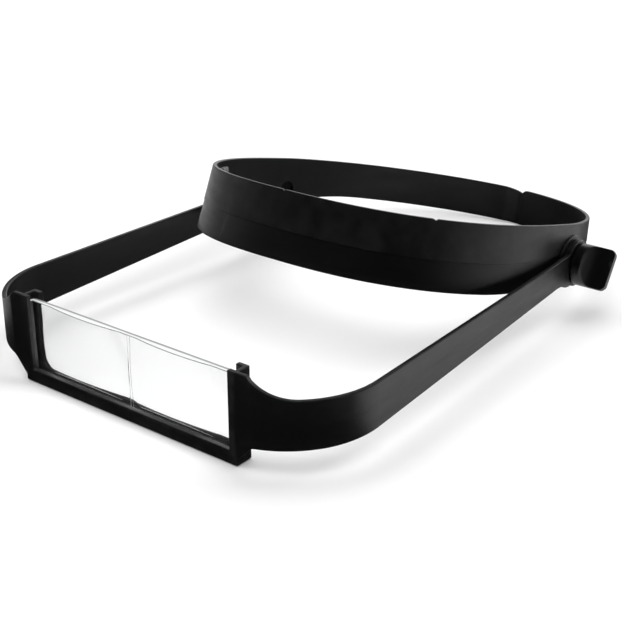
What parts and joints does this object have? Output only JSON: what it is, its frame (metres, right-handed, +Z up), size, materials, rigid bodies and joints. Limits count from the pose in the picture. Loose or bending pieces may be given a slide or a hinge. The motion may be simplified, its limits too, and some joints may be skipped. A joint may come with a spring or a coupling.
{
  "type": "head visor magnifier",
  "caption": "Head-worn magnifier: a looped plastic headband with side wing knobs carries a tilting U-shaped visor frame that holds a clear two-panel lens plate in front of the eyes.",
  "frame": {"origin": "on the table, below the middle of the lens holder's front face", "axes": "+Z up, +X the wearer's left, -Y ahead of the wearer"},
  "size_m": [0.1964, 0.2779, 0.0634],
  "materials": {
    "band_plastic": "satin moulded",
    "frame_plastic": "satin moulded",
    "knob_plastic": "satin moulded",
    "foam": "cloth-faced foam",
    "clear": "polished clear acrylic",
    "steel": "black oxide",
    "spring_steel": "oiled spring steel",
    "fibre": "hard fibre",
    "brass": "turned"
  },
  "bodies": {
    "headband": {"headband": "band_plastic", "brow_pad": "foam", "pivot_bolt_left": "steel", "pivot_bolt_right": "steel", "friction_washer_left": "fibre", "friction_washer_right": "fibre"},
    "visor": {"visor_frame": "frame_plastic"},
    "lens": {"lens_plate": "clear"},
    "knob_left": {"wing_knob_left": "knob_plastic", "knob_insert_left": "brass", "spring_washer_left": "spring_steel", "flat_washer_left": "steel"},
    "knob_right": {"wing_knob_right": "knob_plastic", "knob_insert_right": "brass", "spring_washer_right": "spring_steel", "flat_washer_right": "steel"}
  },
  "joints": [
    {"name": "visor_tilt", "type": "hinge", "parent": "headband", "child": "visor", "pos_m": [0, 0.188, 0.0232], "axis": [-1, 0, 0], "range_deg": [-12, 85]},
    {"name": "lens_slide", "type": "slide", "parent": "visor", "child": "lens", "axis": [0, 0, 1], "range_m": [0, 0.034]},
    {"name": "knob_left_turn", "type": "hinge", "parent": "headband", "child": "knob_left", "pos_m": [0.0838, 0.188, 0.0232], "axis": [1, 0, 0], "range_deg": [-360, 0]},
    {"name": "knob_right_turn", "type": "hinge", "parent": "headband", "child": "knob_right", "pos_m": [-0.0838, 0.188, 0.0232], "axis": [-1, 0, 0], "range_deg": [-360, 0]}
  ]
}
